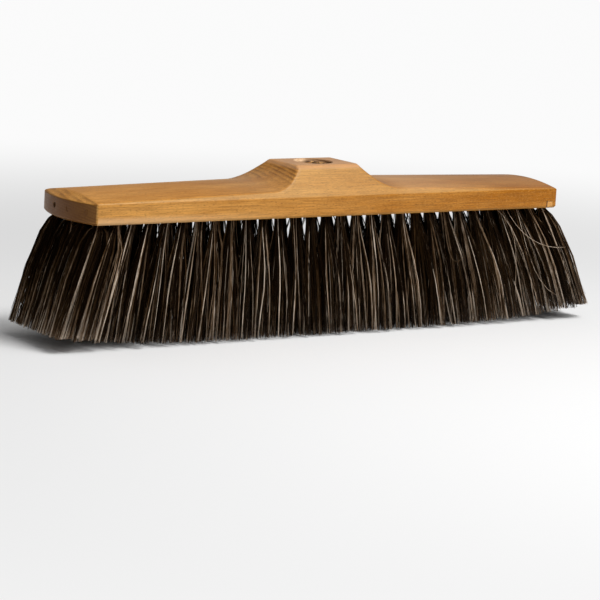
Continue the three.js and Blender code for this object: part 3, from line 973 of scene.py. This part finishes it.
def beech(name, pale, deep, dark, lacquered=True, end_grain=False):
    """Beech with its grain along x and its growth layers nearly level."""
    g = Graph(name)
    place = g.place()
    facing = g.split(g.node("ShaderNodeTexCoord").outputs["Normal"])
    x, up = g.split(place)[0], facing[2]
    cut_across = 1.0 if end_grain else g.maths("ABSOLUTE", facing[0])
    right_arm = g.times(g.rescale(x, 0.03, 0.06), g.rescale(x, 0.14, 0.06))
    late = late_wood(g, place)

    # Broad tones, fine streaks, and short flecks, all drawn out along the grain.
    colour = g.blend(tone_and_painted_falloff(g, place, x, right_arm), pale, deep)
    streak = g.noise(g.stretched(place, (60, 1100, 1100)), 1.0, 3.0, 0.6)
    colour = g.blend(g.rescale(streak, 0.35, 0.65, 0.0, 0.34), colour, dark)
    fleck = g.rescale(g.noise(g.stretched(place, (420, 2000, 2000)), 1.0, 1.0), 0.56, 0.7)
    speck = g.rescale(g.noise(g.stretched(place, (600, 2200, 2200)), 1.0, 1.0), 0.48, 0.75)
    colour = g.blend(g.times(fleck, 0.45), colour, dark)
    colour = g.blend(g.times(speck, 0.4), colour, pale)

    # Where the surface cuts across the grain it drinks the lacquer and turns dark.
    colour = g.blend(g.rescale(cut_across, 0.72, 1.0, 0.0, 0.88), colour, dark)
    late = g.times(late, g.rescale(cut_across, 0.05, 0.5, 0.12, 0.55))
    colour = g.blend(late, colour, dark)
    colour = wear_and_painted_light(g, colour, place, facing, cut_across, right_arm, dark)

    roughness = g.rescale(streak, 0.2, 0.8, 0.36, 0.5)
    height = g.maths("SUBTRACT", g.times(streak, 0.5), g.times(fleck, 0.5))
    normal = g.bump(height, 0.25, 0.0003)
    if not lacquered:
        roughness = g.maths("ADD", roughness, 0.3)
        return g.finish(colour, roughness, normal, Specular_IOR_Level=0.3)

    # The level tops kept the most lacquer, the left arm less, the ends the least.
    coat = g.rescale(cut_across, 0.5, 1.0, 0.15, 0.02)
    coat_on_top = g.rescale(x, -0.13, -0.05, 0.2, 0.8)
    g.feed(g.surface.inputs["Coat Weight"], g.rescale(up, 0.6, 0.95, coat, coat_on_top))
    return g.finish(colour, roughness, normal, Coat_Roughness=0.3, Specular_IOR_Level=0.12)


def socket_wood():
    """Bare wood in the threaded hole, with painted shade in its grooves and, near the mouth, on its
    crests, and a painted highlight on its left-rear wall near the mouth.
    """
    g = Graph("socket_wood")
    place = g.place()
    x, y, z = g.split(place)
    x = g.maths("SUBTRACT", x, CENTRE_X * MM)
    radius = g.maths("SQRT", g.maths("ADD", g.times(x, x), g.times(y, y)))
    crest = THREAD_MINOR_RADIUS * MM
    groove = g.rescale(radius, crest + 0.0002, crest + 0.001)
    mouth = (UNDERSIDE + HUB_HEIGHT) * MM
    depth = g.rescale(z, mouth - 0.001, mouth - 0.012)
    grain = g.noise(g.stretched(place, (300, 1200, 1200)), 1.0, 3.0)
    pale = g.blend(g.rescale(grain, 0.3, 0.7), (0.85, 0.58, 0.36, 1), (0.6, 0.36, 0.18, 1))

    # Close to the mouth the painted shade goes on to the crests, in patches, and the grooves are
    # lighter; deeper in, it lies in the grooves.
    at_mouth = g.rescale(z, mouth - 0.006, mouth - 0.0045)
    patches = g.rescale(g.noise(g.stretched(place, (450, 450, 700)), 1.0, 2.0), 0.6, 0.46)
    crest_shade = g.times(at_mouth, patches)
    crest_colour = g.blend(crest_shade, (0.65, 0.36, 0.13, 1), THREAD_SHADE)
    groove_colour = g.blend(at_mouth, THREAD_SHADE, (0.34, 0.18, 0.08, 1))
    shaded_thread = g.blend(groove, crest_colour, groove_colour)
    # Painted highlight: the hole's left-rear wall near the mouth, which faces the light, is made pale.
    side = g.maths("SUBTRACT", g.times(x, 0.82), g.times(y, 0.57))
    painted_wall_highlight = g.times(g.rescale(side, -0.0035, -0.0085), g.rescale(depth, 0.5, 0.1))
    colour = g.blend(painted_wall_highlight, shaded_thread, pale)
    normal = g.bump(grain, 0.4, 0.0004)
    return g.finish(colour, g.rescale(grain, 0.2, 0.8, 0.6, 0.85), normal, Specular_IOR_Level=0.3)


def hair_material():
    g = Graph("dark_natural_hair")
    tone = g.node("ShaderNodeAttribute", attribute_name="tone").outputs["Fac"]
    patch = g.noise(g.place(), 60.0, 3.0)
    glint = g.noise(g.stretched(g.place(), (500, 500, 130)), 1.0, 2.0)
    uneven = g.maths("ADD", g.times(patch, 0.15), g.times(glint, 0.5))
    shade = g.maths("ADD", tone, g.maths("SUBTRACT", uneven, 0.325))
    colour = g.ramp(
        shade,
        [
            (0.0, (0.0035, 0.0011, 0.0003)),
            (0.3, (0.015, 0.0062, 0.0018)),
            (0.55, (0.077, 0.04, 0.016)),
            (0.75, (0.31, 0.208, 0.13)),
            (1.0, (0.84, 0.7, 0.56)),
        ],
    )
    roughness = g.rescale(patch, 0.3, 0.7, 0.34, 0.5)
    g.surface.inputs["Specular Tint"].default_value = (0.9, 0.6, 0.3, 1)
    return g.finish(colour, roughness, Specular_IOR_Level=0.14)


def drawn_steel():
    g = Graph("drawn_steel_wire")
    grain = g.noise(g.stretched(g.place(), (40, 3000, 3000)), 1.0, 2.0)
    colour = g.blend(grain, (0.42, 0.42, 0.41, 1), (0.6, 0.6, 0.58, 1))
    return g.finish(colour, g.rescale(grain, 0.2, 0.8, 0.25, 0.45), Metallic=1.0)


def floor_material():
    """Pale round the object, and white further off, as on a lit table."""
    g = Graph("pale_floor")
    x, y, _ = g.split(g.place())
    square = g.maths("ADD", g.times(x, x), g.times(y, y))
    away = g.rescale(g.maths("SQRT", square), 0.3, 1.1)
    g.feed(g.surface.inputs["Emission Color"], (1, 1, 1, 1))
    g.feed(g.surface.inputs["Emission Strength"], g.times(away, 0.95))
    colour = g.blend(away, (0.84, 0.84, 0.84, 1), (0.02, 0.02, 0.02, 1))
    return g.finish(colour, 0.7, Specular_IOR_Level=0.0)


# ---- Camera, light and floor ---------------------------------------------------------------

PHOTO_SIZE = 600
CAMERA_AZIMUTH, CAMERA_ELEVATION, CAMERA_ROLL = -34.67, 8.57, 3.29
CAMERA_DISTANCE = 1.85
FOCAL_PIXELS = 2632.5
TARGET = Vector((CENTRE_X * MM, 0.0, 0.064))
TARGET_PIXEL = (308.9, 237.0)


def make_camera():
    """At the photograph's viewing angle, aimed so that the target falls on its pixel."""
    azimuth, elevation, roll = map(math.radians, (CAMERA_AZIMUTH, CAMERA_ELEVATION, CAMERA_ROLL))
    level = math.cos(elevation)
    back = Vector((math.sin(azimuth) * level, -math.cos(azimuth) * level, math.sin(elevation)))
    level_right = (-back).cross(Vector((0, 0, 1))).normalized()
    level_up = level_right.cross(-back)
    right = level_right * math.cos(roll) + level_up * math.sin(roll)
    up = level_up * math.cos(roll) - level_right * math.sin(roll)
    along_x = (TARGET_PIXEL[0] - PHOTO_SIZE / 2) / FOCAL_PIXELS
    along_y = (PHOTO_SIZE / 2 - TARGET_PIXEL[1]) / FOCAL_PIXELS
    ahead = (-back - right * along_x - up * along_y).normalized()
    right = (right - ahead * right.dot(ahead)).normalized()
    up = right.cross(ahead)
    data = bpy.data.cameras.new("camera")
    data.sensor_width = 36.0
    data.lens = FOCAL_PIXELS / PHOTO_SIZE * data.sensor_width
    data.clip_start, data.clip_end = 0.05, 50.0
    camera = add_object("camera", data)
    turn = Matrix((right, up, -ahead)).transposed().to_4x4()
    camera.matrix_world = Matrix.Translation(TARGET + back * CAMERA_DISTANCE) @ turn
    bpy.context.scene.camera = camera


def area_light(name, place, aim, size, power):
    data = bpy.data.lights.new(name, "AREA")
    data.shape = "RECTANGLE"
    data.size, data.size_y = size
    data.energy = power
    lamp = add_object(name, data)
    lamp.location = place
    lamp.rotation_euler = (Vector(aim) - Vector(place)).to_track_quat("-Z", "Y").to_euler()


def make_studio():
    """A pale table under a bright room, a broad sky panel and one key light from the front."""
    scene = bpy.context.scene
    scene.view_settings.view_transform = "Standard"
    world = bpy.data.worlds.new("studio")
    world.use_nodes = True
    background = world.node_tree.nodes["Background"]
    background.inputs["Color"].default_value = (1, 1, 1, 1)
    background.inputs["Strength"].default_value = 0.22
    scene.world = world
    reach = 9000.0
    corners = [[-reach, -reach, 0], [reach, -reach, 0], [reach, reach, 0], [-reach, reach, 0]]
    floor = mesh_object("floor", corners, [(0, 1, 2, 3)])
    floor.location.z = -UNDERSIDE * MM
    floor.data.materials.append(floor_material())
    sun = bpy.data.lights.new("sky_panel", "SUN")
    sun.energy = 1.2
    sun.angle = math.radians(35)
    lamp = add_object("sky_panel", sun)
    lamp.rotation_euler = Vector((0.3, -0.3, 0.9)).to_track_quat("Z", "Y").to_euler()
    key_place, key_aim = (0.22, -0.62, 1.0), (0.0, 0, 0.09)
    area_light("key", key_place, key_aim, size=(0.4, 0.35), power=8.2)


# ---- The part ------------------------------------------------------------------------------

make_camera()
make_studio()
lacquered_beech = beech("lacquered_beech", HONEY, AMBER, BROWN)
peg_beech = beech("peg_beech", HONEY, AMBER, BROWN, end_grain=True)
bare_beech = beech("bare_beech", *DARK_BARE, lacquered=False)
fresh_beech = beech("fresh_beech", *FRESH, lacquered=False)
make_block([lacquered_beech, socket_wood(), bare_beech, fresh_beech])
hair = hair_material()
for row_number in range(1, TUFT_ROWS + 1):
    make_row(row_number, hair)
steel = drawn_steel()
for name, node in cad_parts.items():
    if name.startswith("drawing_wire"):
        node.data.materials.clear()
        node.data.materials.append(steel)
    if name.startswith("peg"):
        make_peg(name, peg_beech)
